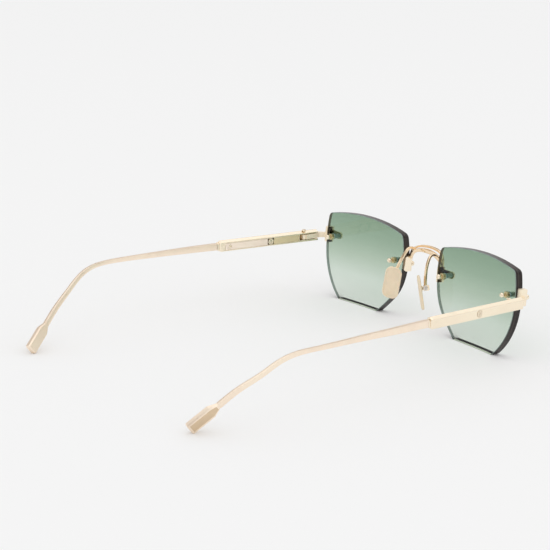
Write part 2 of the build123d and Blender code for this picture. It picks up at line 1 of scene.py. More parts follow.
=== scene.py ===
"""Rimless sunglasses, finished: tinted facetted lenses, champagne metal fittings, nose pads and folding temples.

Every visible piece is either a surface worked out here with numpy, or a node of the frame that keeps its mesh and
gets softened edges and a finish of its own. The tables below hold millimetres for the wearer's left, with Y = 0 at
the lens, which is ORIGIN_BEHIND_LENS in front of the frame's origin. Right-hand pieces are mirror images in X.
"""

import math

import bpy
import numpy as np
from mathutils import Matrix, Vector


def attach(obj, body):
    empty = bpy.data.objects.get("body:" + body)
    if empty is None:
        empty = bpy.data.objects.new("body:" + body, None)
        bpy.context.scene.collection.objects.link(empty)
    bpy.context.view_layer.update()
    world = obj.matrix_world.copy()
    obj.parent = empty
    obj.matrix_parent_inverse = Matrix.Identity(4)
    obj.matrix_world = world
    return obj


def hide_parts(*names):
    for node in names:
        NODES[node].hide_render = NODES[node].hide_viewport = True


bl_info = {
    "name": "Rimless sunglasses",
    "version": (1, 0, 0),
    "blender": (4, 5, 0),
    "location": "3D View > Sidebar > Sunglasses",
    "description": "Builds the lenses, fittings, temples and studio of a pair of rimless sunglasses",
    "category": "Object",
}

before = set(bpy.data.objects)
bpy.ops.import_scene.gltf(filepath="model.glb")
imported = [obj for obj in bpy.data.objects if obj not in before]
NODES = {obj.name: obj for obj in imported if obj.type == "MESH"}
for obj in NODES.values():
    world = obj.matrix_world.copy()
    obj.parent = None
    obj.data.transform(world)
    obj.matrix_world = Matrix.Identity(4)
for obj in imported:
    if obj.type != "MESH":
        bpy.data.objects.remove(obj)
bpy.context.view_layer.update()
SIDES = (("left", 1.0), ("right", -1.0))
MM = 0.001

# ---- places shared with the frame, millimetres, for the wearer's left ----
ORIGIN_BEHIND_LENS = 71.88
LENS_CENTRE = np.array([36.76, -2.47, 18.9])
LENS_TILT, LENS_WRAP = math.radians(6.2), math.radians(2.7)
LENS_CURVE_RADIUS, LENS_THICKNESS = 228.0, 3.6
PAD_CENTRE = np.array([9.55, 4.4, 17.2])
PAD_NORMAL = np.array([-0.543, 0.825, -0.137])
PAD_DOWN = np.array([0.244, 0.0, -0.97])
LOWER_BAR = [(0, -6.7, 31.3), (3.8, -6.65, 31.0), (7.4, -6.5, 29.9), (9.5, -6.35, 28.3), (10.4, -6.2, 26.3)]
UPPER_BAR = [(0, -9.0, 32.6), (4.0, -8.8, 32.35), (7.6, -8.05, 31.5), (9.8, -7.0, 29.8), (10.45, -6.5, 27.4)]
PAD_ARM = [(7.9, -6.4, 30.5), (7.6, -4.9, 31.5), (7.45, -3.0, 31.6), (7.7, -1.2, 29.9), (8.6, 0.8, 26.1),
           (9.5, 1.9, 22.6), (10.2, 2.45, 20.0)]
LINE_SHARES = (0.4, 0.445)     # of the lens's thickness, where its edge shows a thin line from within
WIRE = [(71.35, 52.4, 27.1), (72.0, 60.0, 27.3), (72.85, 71.0, 27.5), (73.65, 86.0, 27.75), (74.35, 98.0, 27.85),
        (74.3, 107.0, 27.75), (73.1, 114.2, 27.05), (71.3, 120.6, 24.8), (69.0, 127.4, 20.3),
        (65.75, 135.0, 15.4), (62.75, 141.9, 9.8)]
WIRE_SIZES = [(1.9, 3.0), (1.75, 2.7), (1.55, 2.3), (1.4, 1.9), (1.35, 1.65), (1.4, 1.75), (1.5, 1.95), (1.6, 2.2)]

TIP_START = np.array([62.75, 141.9, 9.8])
TIP_AXIS = np.array([-0.3187, 0.7304, -0.6044])
TIP_FLARE = 3.6                        # length over which the tip thickens
TIP_HALF_THICKNESS = (0.825, 1.25)     # before and after the flare
TIP_PANEL = [(0.9, 0.78), (3.2, 1.42), (3.6, 1.49), (12.73, 1.49)]     # distance along the tip, half width

# ---- heights of the lens's colours, metres ----
TINT_TOP = 39.5 * MM
DARK_EDGE_FROM, DARK_EDGE_TO = 21 * MM, 25 * MM
TINT, EDGE, LINE, FOOT, BEVEL, FRONT_EDGE, UNDER_PLATE = range(7)     # the lens mesh's materials, in order

# ---- finishing ----
MERGE_DISTANCE = 0.002 * MM            # frame vertices closer than this are one
BEVELLED_FROM = math.radians(28)       # frame edges sharper than this are rounded
CLOUD_SHARE = 0.03                     # how much lighter and darker the plating gets
GRAIN_ALONG = (2600.0, 420.0, 2600.0)  # waves a metre in X, Y and Z: lines that run along the piece

# ---- studio ----
FLOOR_HALF, FLOOR_POINTS, FLOOR_DROP = 4.0, 9, 0.02 * MM
LAMP_PLACE, LAMP_SIZE = (-0.5, 0.3, 1.6), 1.4
CAMERA_PLACE = (-0.6477, (535.4 - ORIGIN_BEHIND_LENS) * MM, 0.2512)
CAMERA_TURN, CAMERA_DIP = math.radians(54.425), math.radians(15.296)
CAMERA_LENS, CAMERA_SENSOR = 135.24, 36.0     # millimetres


# ---- surfaces from arrays ----
def unit(vectors):
    """Each vector divided by its length."""
    return vectors / np.linalg.norm(vectors, axis=-1, keepdims=True)


def spline(points, count):
    """A natural cubic spline through points: on each span p = a + b t + c t^2 + d t^3, second derivatives continuous
    and zero at both ends. Returns positions and unit tangents at count even steps of chord length."""
    points = np.asarray(points, float)
    knots = np.concatenate([[0], np.cumsum(np.linalg.norm(np.diff(points, axis=0), axis=1))])
    span = np.diff(knots)
    size = len(points)
    system, right = np.eye(size), np.zeros((size, 3))
    inner = np.arange(1, size - 1)
    system[inner, inner - 1], system[inner, inner + 1] = span[:-1], span[1:]
    system[inner, inner] = 2 * (span[:-1] + span[1:])
    slope = np.diff(points, axis=0) / span[:, None]
    right[inner] = 6 * (slope[1:] - slope[:-1])
    second = np.linalg.solve(system, right)
    at = np.linspace(0, knots[-1], count)
    k = np.clip(np.searchsorted(knots, at, side="right") - 1, 0, size - 2)
    t, h = (at - knots[k])[:, None], span[k][:, None]
    cubic = (second[k + 1] - second[k]) / (6 * h)
    linear = slope[k] - h * (2 * second[k] + second[k + 1]) / 6
    place = points[k] + linear * t + second[k] / 2 * t**2 + cubic * t**3
    return place, unit(linear + second[k] * t + 3 * cubic * t**2)


def soft_rectangle(half_width, half_height, radius, corner_steps):
    """Points round a rectangle with quarter-circle corners: corner centre + radius (cos a, sin a), a from 0 to 2 pi.
    The sizes may be arrays, one value for each section."""
    quarter = np.linspace(0, math.pi / 2, corner_steps)
    angle = (quarter[None] + np.arange(4)[:, None] * math.pi / 2).ravel()
    sign_x = np.repeat([1, -1, -1, 1], corner_steps)
    sign_y = np.repeat([1, 1, -1, -1], corner_steps)
    w, h, r = (np.atleast_1d(np.asarray(value, float))[:, None] for value in (half_width, half_height, radius))
    return sign_x * (w - r) + r * np.cos(angle), sign_y * (h - r) + r * np.sin(angle)


def carried(points, sizes, side, radius_share, count, corner_steps=4):
    """A soft rectangle carried along a spline: place + across * width + up * height, with across kept near side."""
    place, tangent = spline(points, count)
    side = np.asarray(side, float)
    across = unit(side - tangent * (tangent @ side)[:, None])
    up = np.cross(tangent, across)
    sizes = np.asarray(sizes, float)
    steps = np.linspace(0, 1, len(sizes))
    along = np.linspace(0, 1, count)
    width, height = (np.interp(along, steps, sizes[:, i]) / 2 for i in (0, 1))
    w, h = soft_rectangle(width, height, radius_share * np.minimum(width, height), corner_steps)
    return place[:, None] + across[:, None] * w[..., None] + up[:, None] * h[..., None]


def shell_faces(rings, around):
    """Quads between neighbouring rings of a grid, then a fan from a pole at each end."""
    row = np.arange(rings - 1)[:, None] * around
    col = np.arange(around)[None]
    nxt = (col + 1) % around
    quads = np.stack([row + col, row + nxt, row + around + nxt, row + around + col], -1).reshape(-1, 4)
    first, last = rings * around, rings * around + 1
    ring = np.arange(around)
    turned = (ring + 1) % around
    top = (rings - 1) * around
    start = np.stack([np.full(around, first), turned, ring], -1)
    end = np.stack([np.full(around, last), top + ring, top + turned], -1)
    return quads.tolist() + start.tolist() + end.tolist()


def make_piece(name, grid, body, materials, smooth_below=30.0, replaces=()):
    """A closed piece from a grid of rings: both ends are closed with a point at the ring's mean."""
    rings, around = grid.shape[:2]
    vertices = np.concatenate([grid.reshape(-1, 3), grid[:1].mean(1), grid[-1:].mean(1)])
    vertices[:, 1] -= ORIGIN_BEHIND_LENS
    mesh = bpy.data.meshes.new(name)
    mesh.from_pydata((vertices * MM).tolist(), [], shell_faces(rings, around))
    if signed_volume(mesh) < 0:
        mesh.flip_normals()
    mesh.shade_smooth()
    mesh.set_sharp_from_angle(angle=math.radians(smooth_below))
    for material in materials:
        mesh.materials.append(material)
    piece = bpy.data.objects.new(name, mesh)
    bpy.context.scene.collection.objects.link(piece)
    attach(piece, body)
    if replaces:
        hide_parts(*replaces)
    return piece


def signed_volume(mesh):
    """Sum over triangles of a . (b x c) / 6: positive when the faces point outwards."""
    mesh.calc_loop_triangles()
    corners = np.empty(len(mesh.loop_triangles) * 3, np.int32)
    mesh.loop_triangles.foreach_get("vertices", corners)
    places = np.empty(len(mesh.vertices) * 3, np.float32)
    mesh.vertices.foreach_get("co", places)
    a, b, c = places.reshape(-1, 3)[corners.reshape(-1, 3)].astype(float).transpose(1, 0, 2)
    return float((a * np.cross(b, c)).sum() / 6)


def deep_inside(points, node_name, margin=0.15 * MM):
    """Which points lie in a frame node's box, at least the margin from its sides."""
    mesh = NODES[node_name].data
    places = np.empty(len(mesh.vertices) * 3, np.float32)
    mesh.vertices.foreach_get("co", places)
    places = places.reshape(-1, 3)
    return ((points > places.min(0) + margin) & (points < places.max(0) - margin)).all(1)


def mirrored(grid, sign):
    """The grid for the wearer's left, or its mirror image in X for the right."""
    return grid * np.array([sign, 1.0, 1.0])


# ---- finishes ----
class Finish:
    """A node material that starts with a Principled shader and the object's own coordinates."""

    def __init__(self, name, colour, metallic=0.0, roughness=0.3):
        self.material = bpy.data.materials.new(name)
        self.material.use_nodes = True
        self.tree = self.material.node_tree
        self.shader = self.tree.nodes["Principled BSDF"]
        self.set("Base Color", (*colour, 1.0))
        self.set("Metallic", metallic)
        self.set("Roughness", roughness)
        self.coords = self.tree.nodes.new("ShaderNodeTexCoord").outputs["Object"]

    def set(self, socket, value):
        self.shader.inputs[socket].default_value = value

    def node(self, kind, **values):
        made = self.tree.nodes.new("ShaderNode" + kind)
        for key, value in values.items():
            setattr(made, key, value)
        return made

    def link(self, output, target):
        self.tree.links.new(output, target)

    def stretched(self, scale):
        mapping = self.node("Mapping")
        mapping.inputs["Scale"].default_value = scale
        self.link(self.coords, mapping.inputs["Vector"])
        return mapping.outputs["Vector"]

    def noise(self, scale, detail=3.0, source=None):
        noise = self.node("TexNoise")
        noise.inputs["Scale"].default_value = scale
        noise.inputs["Detail"].default_value = detail
        noise.inputs["Roughness"].default_value = 0.55
        self.link(source or self.coords, noise.inputs["Vector"])
        return noise.outputs["Fac"]

    def range(self, source, low, high, from_low=0.3, from_high=0.7):
        node = self.node("MapRange")
        for socket, value in (("From Min", from_low), ("From Max", from_high), ("To Min", low), ("To Max", high)):
            node.inputs[socket].default_value = value
        self.link(source, node.inputs["Value"])
        return node.outputs["Result"]

    def ramp(self, source, stops):
        ramp = self.node("ValToRGB")
        elements = ramp.color_ramp.elements
        while len(elements) < len(stops):
            elements.new(0.5)
        for element, (at, colour) in zip(elements, stops):
            element.position = at
            element.color = (*colour, 1.0)
        self.link(source, ramp.inputs["Fac"])
        return ramp.outputs["Color"]

    def height(self):
        parts = self.node("SeparateXYZ")
        self.link(self.coords, parts.inputs["Vector"])
        return parts.outputs["Z"]

    def blend(self, factor, first, second):
        mix = self.node("Mix", data_type="RGBA")
        for socket, value in ((mix.inputs[0], factor), (mix.inputs[6], first), (mix.inputs[7], second)):
            if isinstance(value, bpy.types.NodeSocket):
                self.link(value, socket)
            else:
                socket.default_value = value if isinstance(value, float) else (*value, 1.0)
        return mix.outputs[2]

    def bump(self, height, distance, strength=0.5):
        bump = self.node("Bump")
        bump.inputs["Distance"].default_value = distance
        bump.inputs["Strength"].default_value = strength
        self.link(height, bump.inputs["Height"])
        self.link(bump.outputs["Normal"], self.shader.inputs["Normal"])

    def into(self, socket, output):
        self.link(output, self.shader.inputs[socket])


def scaled(colour, factor):
    return tuple(min(channel * factor, 1.0) for channel in colour)


def plated_metal(name, colour, roughness, grain=GRAIN_ALONG, metallic=1.0):
    """Plated metal: a faint cloud in the plating colour, fine polishing lines along the piece, and their gloss."""
    finish = Finish(name, colour, metallic=metallic, roughness=roughness)
    clouds = finish.noise(150.0, detail=3.0)
    lines = finish.noise(1.0, detail=4.0, source=finish.stretched(grain))
    tone = finish.ramp(clouds, [(0.35, scaled(colour, 1 - CLOUD_SHARE)), (0.5, colour),
                                (0.7, scaled(colour, 1 + CLOUD_SHARE))])
    finish.into("Base Color", tone)
    finish.into("Roughness", finish.range(lines, roughness * 0.9, roughness * 1.12))
    finish.bump(lines, 0.0012 * MM, 0.2)
    return finish.material


def one_way(finish, opaque, clear, outside_share):
    """Shows the first shader on the outside of a surface, by a share, and only the clear one from within."""
    facing = finish.node("NewGeometry").outputs["Backfacing"]
    outside = finish.node("Math", operation="SUBTRACT")
    outside.inputs[0].default_value = 1.0
    finish.link(facing, outside.inputs[1])
    share = finish.node("Math", operation="MULTIPLY")
    finish.link(outside.outputs[0], share.inputs[0])
    if isinstance(outside_share, float):
        share.inputs[1].default_value = outside_share
    else:
        finish.link(outside_share, share.inputs[1])
    mix = finish.node("MixShader")
    finish.link(share.outputs[0], mix.inputs["Fac"])
    finish.link(clear, mix.inputs[1])
    finish.link(opaque, mix.inputs[2])
    finish.link(mix.outputs["Shader"], finish.tree.nodes["Material Output"].inputs["Surface"])


def graded_tint(finish, props):
    """What the lens lets through at each height: deepest at the top and fading downwards."""
    share = finish.range(finish.height(), 0.0, 1.0, 0.0, TINT_TOP)
    cloud = finish.noise(60.0, detail=2.0)
    tint = finish.ramp(share, [(0.0, props.foot_tint), (0.3, props.low_tint), (0.51, props.middle_tint),
                               (0.74, props.upper_tint), (1.0, props.top_tint)])
    return finish.blend(finish.range(cloud, 0.0, 0.04), tint, scaled(props.top_tint, 0.9))


def lens_tint(props):
    """Tinted lens: see-through and graded, with a mirror-smooth gloss on the outside."""
    finish = Finish("Graded lens tint", props.top_tint, roughness=0.02)
    clear = finish.node("BsdfTransparent")
    finish.link(graded_tint(finish, props), clear.inputs["Color"])
    gloss = finish.node("BsdfGlossy")
    gloss.inputs["Roughness"].default_value = 0.02
    fresnel = finish.node("Fresnel")
    fresnel.inputs["IOR"].default_value = 1.5
    finish.tree.nodes.remove(finish.shader)
    one_way(finish, gloss.outputs["BSDF"], clear.outputs["BSDF"], fresnel.outputs["Fac"])
    return finish.material


def lens_edge(props, name, colour, inner=None):
    """Polished lens edge: a dense colour with faint grinding marks outside, and see-through from within the lens. It
    shows the inner colour there, which darkens above, or else the lens's own tint."""
    finish = Finish(name, colour, roughness=0.3)
    marks = finish.noise(1.0, detail=4.0, source=finish.stretched((300.0, 2600.0, 300.0)))
    depth = finish.noise(120.0, detail=2.0)
    tone = finish.ramp(depth, [(0.3, scaled(colour, 0.85)), (0.55, colour), (0.75, scaled(colour, 1.2))])
    finish.into("Base Color", tone)
    finish.into("Roughness", finish.range(marks, 0.24, 0.34))
    finish.set("Specular IOR Level", 0.28)
    finish.bump(marks, 0.002 * MM, 0.2)
    clear = finish.node("BsdfTransparent")
    if inner:
        upper = finish.range(finish.height(), 0.0, 1.0, DARK_EDGE_FROM, DARK_EDGE_TO)
        finish.link(finish.blend(upper, inner, tuple(props.inner_top)), clear.inputs["Color"])
    else:
        finish.link(graded_tint(finish, props), clear.inputs["Color"])
    one_way(finish, finish.shader.outputs["BSDF"], clear.outputs["BSDF"], 1.0)
    return finish.material


def lens_line(props):
    """A narrow band round the lens edge, which shows through the lens as a thin olive-brown line."""
    colour = tuple(props.line_colour)
    finish = Finish("Dark line in the edge", colour, roughness=0.3)
    cloud = finish.noise(220.0, detail=3.0)
    finish.into("Base Color", finish.ramp(cloud, [(0.35, scaled(colour, 0.7)), (0.65, scaled(colour, 1.4))]))
    finish.into("Roughness", finish.range(cloud, 0.24, 0.36))
    finish.set("Specular IOR Level", 0.35)
    return finish.material


def lens_bevel_sheen(props):
    """The narrow rear bevel: glossy, in a grey-green that is painted sheen, the light line the bevel catches round
    the lens.
    """
    colour = tuple(props.bevel_sheen_colour)
    finish = Finish("Rear bevel with painted sheen", colour, roughness=0.15)
    cloud = finish.noise(160.0, detail=3.0)
    finish.into("Base Color", finish.ramp(cloud, [(0.35, scaled(colour, 0.7)), (0.65, scaled(colour, 1.3))]))
    finish.into("Roughness", finish.range(cloud, 0.1, 0.22))
    return finish.material


def lens_foot(props):
    """The flat the lens stands on: clear, so that the floor shows through the bottom of the lens."""
    finish = Finish("Clear lens foot", props.foot_colour)
    cloud = finish.noise(90.0, detail=2.0)
    clear = finish.node("BsdfTransparent")
    tint = finish.ramp(cloud, [(0.35, scaled(props.foot_colour, 0.94)), (0.65, tuple(props.foot_colour))])
    finish.link(tint, clear.inputs["Color"])
    finish.link(clear.outputs["BSDF"], finish.tree.nodes["Material Output"].inputs["Surface"])
    finish.tree.nodes.remove(finish.shader)
    return finish.material


def pad_plastic(props):
    """Soft satin pad: warm beige, slightly cloudy, with a fine moulded grain."""
    colour = tuple(props.colour)
    finish = Finish("Satin nose pad", colour, roughness=0.38)
    cloud = finish.noise(260.0, detail=3.0)
    grain = finish.noise(5200.0, detail=3.0)
    tone = finish.ramp(cloud, [(0.3, scaled(colour, 0.93)), (0.6, colour), (0.8, scaled(colour, 1.05))])
    finish.into("Base Color", tone)
    finish.into("Roughness", finish.range(grain, 0.3, 0.46))
    finish.set("Subsurface Weight", 0.25)
    finish.set("Subsurface Radius", (1.2 * MM, 0.9 * MM, 0.6 * MM))
    finish.set("Coat Weight", 0.25)
    finish.set("Coat Roughness", 0.2)
    finish.bump(grain, 0.01 * MM, 0.25)
    return finish.material


def clear_sleeve():
    """See-through moulded sleeve: dark teal, glossy, with flow clouds."""
    dark, light = (0.14, 0.24, 0.24), (0.4, 0.54, 0.52)
    finish = Finish("Clear sleeve", dark, roughness=0.12)
    cloud = finish.noise(900.0, detail=2.0)
    finish.into("Base Color", finish.ramp(cloud, [(0.3, dark), (0.7, light)]))
    finish.into("Roughness", finish.range(cloud, 0.06, 0.18))
    finish.set("Alpha", 0.75)
    finish.set("Coat Weight", 0.5)
    return finish.material


def floor_paper(props):
    """Smooth pale studio paper with a faint tooth."""
    colour = tuple(props.floor_colour)
    finish = Finish("Pale studio paper", colour, roughness=0.9)
    tooth = finish.noise(900.0, detail=4.0)
    finish.into("Base Color", finish.ramp(tooth, [(0.3, scaled(colour, 0.997)), (0.7, colour)]))
    finish.set("Specular IOR Level", 0.0)
    finish.bump(tooth, 0.02 * MM, 0.1)
    return finish.material


FINISHES = {}


def finish_of(name):
    """The shared finishes, each made once: its name, colour and roughness, then its grain and how metallic it is."""
    if name not in FINISHES:
        metal = bpy.context.scene.sunglasses_metal
        gold, polish = tuple(metal.gold), metal.roughness
        metals = {
            "gold": ("Champagne plating", gold, polish),
            # Bridge bars and pad arms: a deeper gold than the plates, partly their warmer plating and partly painted
            # shade from the brown reflections along them.
            "wire": ("Champagne plating, thin wire", tuple(metal.wire), polish),
            "soft": ("Champagne plating, temples", (gold[0], gold[1] * 0.97, gold[2]), 0.3),
            "box": ("Champagne plating, brushed box", gold, polish * 1.3),
            # Box screw heads: the plating darkened by 0.87, painted shade that stands in for the shaded outline round
            # each head.
            "screw": ("Screw heads", scaled(gold, 0.87), polish, (3200.0,) * 3),
            "satin": ("Champagne plating, satin", gold, 0.38, GRAIN_ALONG, 0.45),
            "pale": ("Pale satin cover", tuple(metal.pale_gold), 0.45, GRAIN_ALONG, 0.4),
            "olive": ("Olive gold", tuple(metal.olive), 0.3, (2600.0,) * 3),
            "inlay": ("Olive inlay", tuple(metal.inlay), 0.52, (3000.0, 500.0, 3000.0)),
            "steel": ("Turned steel", tuple(metal.steel), 0.32, (5200.0,) * 3),
            "tan": ("Tan tip panel", tuple(metal.tan), 0.42, (2400.0, 700.0, 2400.0)),
        }
        FINISHES[name] = clear_sleeve() if name == "sleeve" else plated_metal(*metals[name])
    return FINISHES[name]


def dress(node_name, finish, edge_mm=0.08):
    """A frame node keeps its mesh. Modifiers merge its corners and round its edges, and it gets its finish."""
    node = NODES[node_name]
    node.data.materials.clear()
    node.data.materials.append(finish_of(finish))
    node.data.polygons.foreach_set("material_index", np.zeros(len(node.data.polygons), np.int32))
    node.data.shade_smooth()
    weld = node.modifiers.new("Merge corners", "WELD")
    weld.merge_threshold = MERGE_DISTANCE
    if edge_mm:
        bevel = node.modifiers.new("Rounded edges", "BEVEL")
        bevel.width = edge_mm * MM
        bevel.segments = 2
        bevel.limit_method = "ANGLE"
        bevel.angle_limit = BEVELLED_FROM
        bevel.use_clamp_overlap = True
    weighted = node.modifiers.new("Flat faces stay flat", "WEIGHTED_NORMAL")
    weighted.weight = 80
    weighted.keep_sharp = True


# ---- pieces ----
def lens_axes():
    """The lens plane's directions: along towards the temple, up, and forward."""
    along = np.array([math.cos(LENS_WRAP), math.sin(LENS_WRAP), 0.0])
    forward = np.array([math.cos(LENS_TILT) * math.sin(LENS_WRAP), -math.cos(LENS_TILT) * math.cos(LENS_WRAP),
                        -math.sin(LENS_TILT)])
    return along, np.cross(forward, along), forward


def arc(start, middle, end, share):
    """Points on the circle through three points: centre + radius (cos a, sin a), with a running evenly over the
    shares of the way from start to end."""
    (ax, ay), (bx, by), (cx, cy) = start, middle, end
    d = 2 * (ax * (by - cy) + bx * (cy - ay) + cx * (ay - by))
    sa, sb, sc = ax * ax + ay * ay, bx * bx + by * by, cx * cx + cy * cy
    centre = np.array([sa * (by - cy) + sb * (cy - ay) + sc * (ay - by),
                       sa * (cx - bx) + sb * (ax - cx) + sc * (bx - ax)]) / d
    radius = math.hypot(ax - centre[0], ay - centre[1])
    first, last = (math.atan2(p[1] - centre[1], p[0] - centre[0]) for p in (start, end))
    turn = (last - first + math.pi) % (2 * math.pi) - math.pi
    angle = first + turn * share
    return centre + radius * np.stack([np.cos(angle), np.sin(angle)], -1)


def lens_outline():
    """Seven softly bowed sides. Each corner is rounded by a quadratic curve, (1-t)^2 a + 2t(1-t) corner + t^2 b,
    between points set back from the corner by its own distance."""
    foot = -19.3
    corners = [(-24.0, 17.15), (-25.2, 2.3), (-19.7, -10.9), (-10.9, foot), (14.1, foot), (25.31, 1.7),
               (24.25, 17.85)]
    bows = [(-25.56, 8.2), (-23.45, -4.9), (-15.45, -15.15), (1.6, foot - 0.01), (21.75, -10.2), (25.4, 10.0),
            (1.0, 20.2)]
    set_back = [1.75, 0.35, 0.35, 0.3, 0.3, 0.35, 1.75]
    pieces = []
    for i, (start, middle) in enumerate(zip(corners, bows)):
        j = (i + 1) % len(corners)
        end = corners[j]
        length = math.dist(start, end)
        share = np.linspace(set_back[i] / length, 1 - set_back[j] / length, 26)
        side = arc(start, middle, end, share)
        pieces.append(side)
    outline = []
    t = np.linspace(0, 1, 9)[1:-1, None]
    for i, side in enumerate(pieces):
        after, corner = pieces[(i + 1) % len(pieces)], np.array(corners[(i + 1) % len(corners)])
        outline += [side, (1 - t)**2 * side[-1] + 2 * t * (1 - t) * corner + t**2 * after[0]]
    return np.concatenate(outline)


def lens_grid(edge_bevel):
    """Rings from the middle of the rear surface out over the edge to the middle of the front surface. A ring is the
    outline scaled and inset; its depth lies on the rear sphere, z = sqrt(R^2 - x^2 - y^2) - R, or the front one."""
    outline = lens_outline()
    step = np.roll(outline, -1, 0) - np.roll(outline, 1, 0)
    inward = unit(np.stack([-step[:, 1], step[:, 0]], -1))
    inner = outline + inward * edge_bevel
    shares = np.concatenate([np.linspace(0.04, 0.9, 13), [0.96, 0.99, 1.0]])
    rear, front = LENS_CURVE_RADIUS, LENS_CURVE_RADIUS + LENS_THICKNESS

    def height(radius, flat):
        return np.sqrt(radius**2 - (flat**2).sum(-1)) - LENS_CURVE_RADIUS

    rings = [(inner * s, rear, 0.0) for s in shares]
    rings += [(outline + inward * edge_bevel * k, rear, edge_bevel * (1 - k)) for k in (0.5, 0.0)]
    rings += [(outline, rear, share * LENS_THICKNESS) for share in LINE_SHARES]
    rings += [(outline + inward * edge_bevel * k, front, -edge_bevel * (1 - k)) for k in (0.0, 0.5)]
    rings += [(inner * s, front, 0.0) for s in shares[::-1]]
    along, up, forward = lens_axes()
    grid = []
    for flat, radius, offset in rings:
        depth = height(radius, flat) + offset
        grid.append(LENS_CENTRE + flat[:, :1] * along + flat[:, 1:] * up + depth[:, None] * forward)
    grid = np.array(grid)
    grid[..., 2] = np.maximum(grid[..., 2], 0.0)
    return grid, len(shares)


def both_ways(half):
    """A left half of a line or of its sizes, continued through the middle to the right."""
    right = [(-row[0], *row[1:]) for row in half[:0:-1]] if len(half[0]) == 3 else list(half[:0:-1])
    return right + list(half)


def pad_axes():
    normal, down = unit(PAD_NORMAL), unit(PAD_DOWN)
    return np.cross(down, normal), -down, normal


def nose_pad_grid(props):
    """Rings of a round-ended pad: from the back's middle, over a rounded edge and a raised rim, into a slightly
    dished field. Ring outlines are soft rectangles, and each has its own inset and height."""
    across, up, normal = pad_axes()
    half_w, half_l, thick = props.width / MM / 2, props.length / MM / 2, props.thickness / MM
    low, high = -thick / 2, thick / 2
    rim, dish = props.rim / MM, 0.24
    back = [(half_w * 0.94, low + 0.06), (half_w * 0.6, low + 0.03), (half_w * 0.3, low), (0.35, low)]
    edge = [(0.15, low + 0.05), (0.04, low + 0.16), (0.0, low + 0.34), (0.0, high - 0.3), (0.05, high - 0.13),
            (0.16, high - 0.03)]
    raised = [(0.28, high), (rim * 0.72, high), (rim * 0.9, high - 0.04), (rim, high - 0.12)]
    field = [(rim + 0.1, high - dish + 0.03), (rim + 0.25, high - dish), (half_w * 0.35, high - dish + 0.02),
             (half_w * 0.6, high - dish + 0.05), (half_w * 0.94, high - dish + 0.07)]
    inset, height = np.array(back + edge + raised + field).T
    w, h = soft_rectangle(half_w - inset, half_l - inset, np.maximum(np.minimum(2.9, half_w) - inset, 0.05), 14)
    grid = across * w[..., None] + up * h[..., None] + normal * height[:, None, None]
    return PAD_CENTRE + grid


def tip_panel_grid():
    """Rings along a thin panel that follows the tip's outer face, a hair above it: the face is straight lines between
    the half thickness at the neck and after the flare. Each ring is a soft rectangle across the panel."""
    thick, proud, axis = 0.27, 0.02, unit(TIP_AXIS)
    outward = unit(np.array([1.0, 0, 0]) - axis * axis[0])
    knots, half = np.array(TIP_PANEL).T
    distance = np.unique(np.concatenate([knots, np.linspace(knots[0], knots[-1], 40)]))
    width = np.interp(distance, knots, half)
    face = np.interp(distance, (0, TIP_FLARE), TIP_HALF_THICKNESS) + proud
    x, y = soft_rectangle(np.full_like(distance, thick / 2), width, np.full_like(distance, 0.04), 3)
    x = x + (face - thick / 2)[:, None]
    along = TIP_START + axis * distance[:, None]
    return along[:, None] + outward * x[..., None] + np.cross(axis, outward) * y[..., None]


# ---- settings ----
class MetalSettings(bpy.types.PropertyGroup):
    gold: bpy.props.FloatVectorProperty(name="Champagne", description="Colour of the plated metal", subtype="COLOR",
                                        default=(1.0, 0.875, 0.69), min=0, max=1)
    # The bridge and arm colour is deepened: partly warmer plating, partly painted shade of their darker reflections.
    wire: bpy.props.FloatVectorProperty(name="Bridge and arms", description="Colour of the bridge bars and pad arms",
                                        subtype="COLOR", default=(0.97, 0.77, 0.54), min=0, max=1)
    pale_gold: bpy.props.FloatVectorProperty(name="Pale cover", description="Colour of the rear cover",
                                             subtype="COLOR", default=(1.0, 0.86, 0.73), min=0, max=1)
    olive: bpy.props.FloatVectorProperty(name="Olive gold", description="Colour of the lens nuts", subtype="COLOR",
                                         default=(0.6, 0.52, 0.31), min=0, max=1)
    inlay: bpy.props.FloatVectorProperty(name="Box inlay", description="Colour of the inlays", subtype="COLOR",
                                         default=(0.9, 0.775, 0.53), min=0, max=1)
    steel: bpy.props.FloatVectorProperty(name="Steel", description="Colour of the pad screws", subtype="COLOR",
                                         default=(0.7, 0.67, 0.63), min=0, max=1)
    tan: bpy.props.FloatVectorProperty(name="Tan", description="Colour of the tip panels", subtype="COLOR",
                                       default=(0.75, 0.59, 0.41), min=0, max=1)
    roughness: bpy.props.FloatProperty(name="Polish", description="Roughness of the plating", default=0.17,
                                       min=0, max=1, subtype="FACTOR")


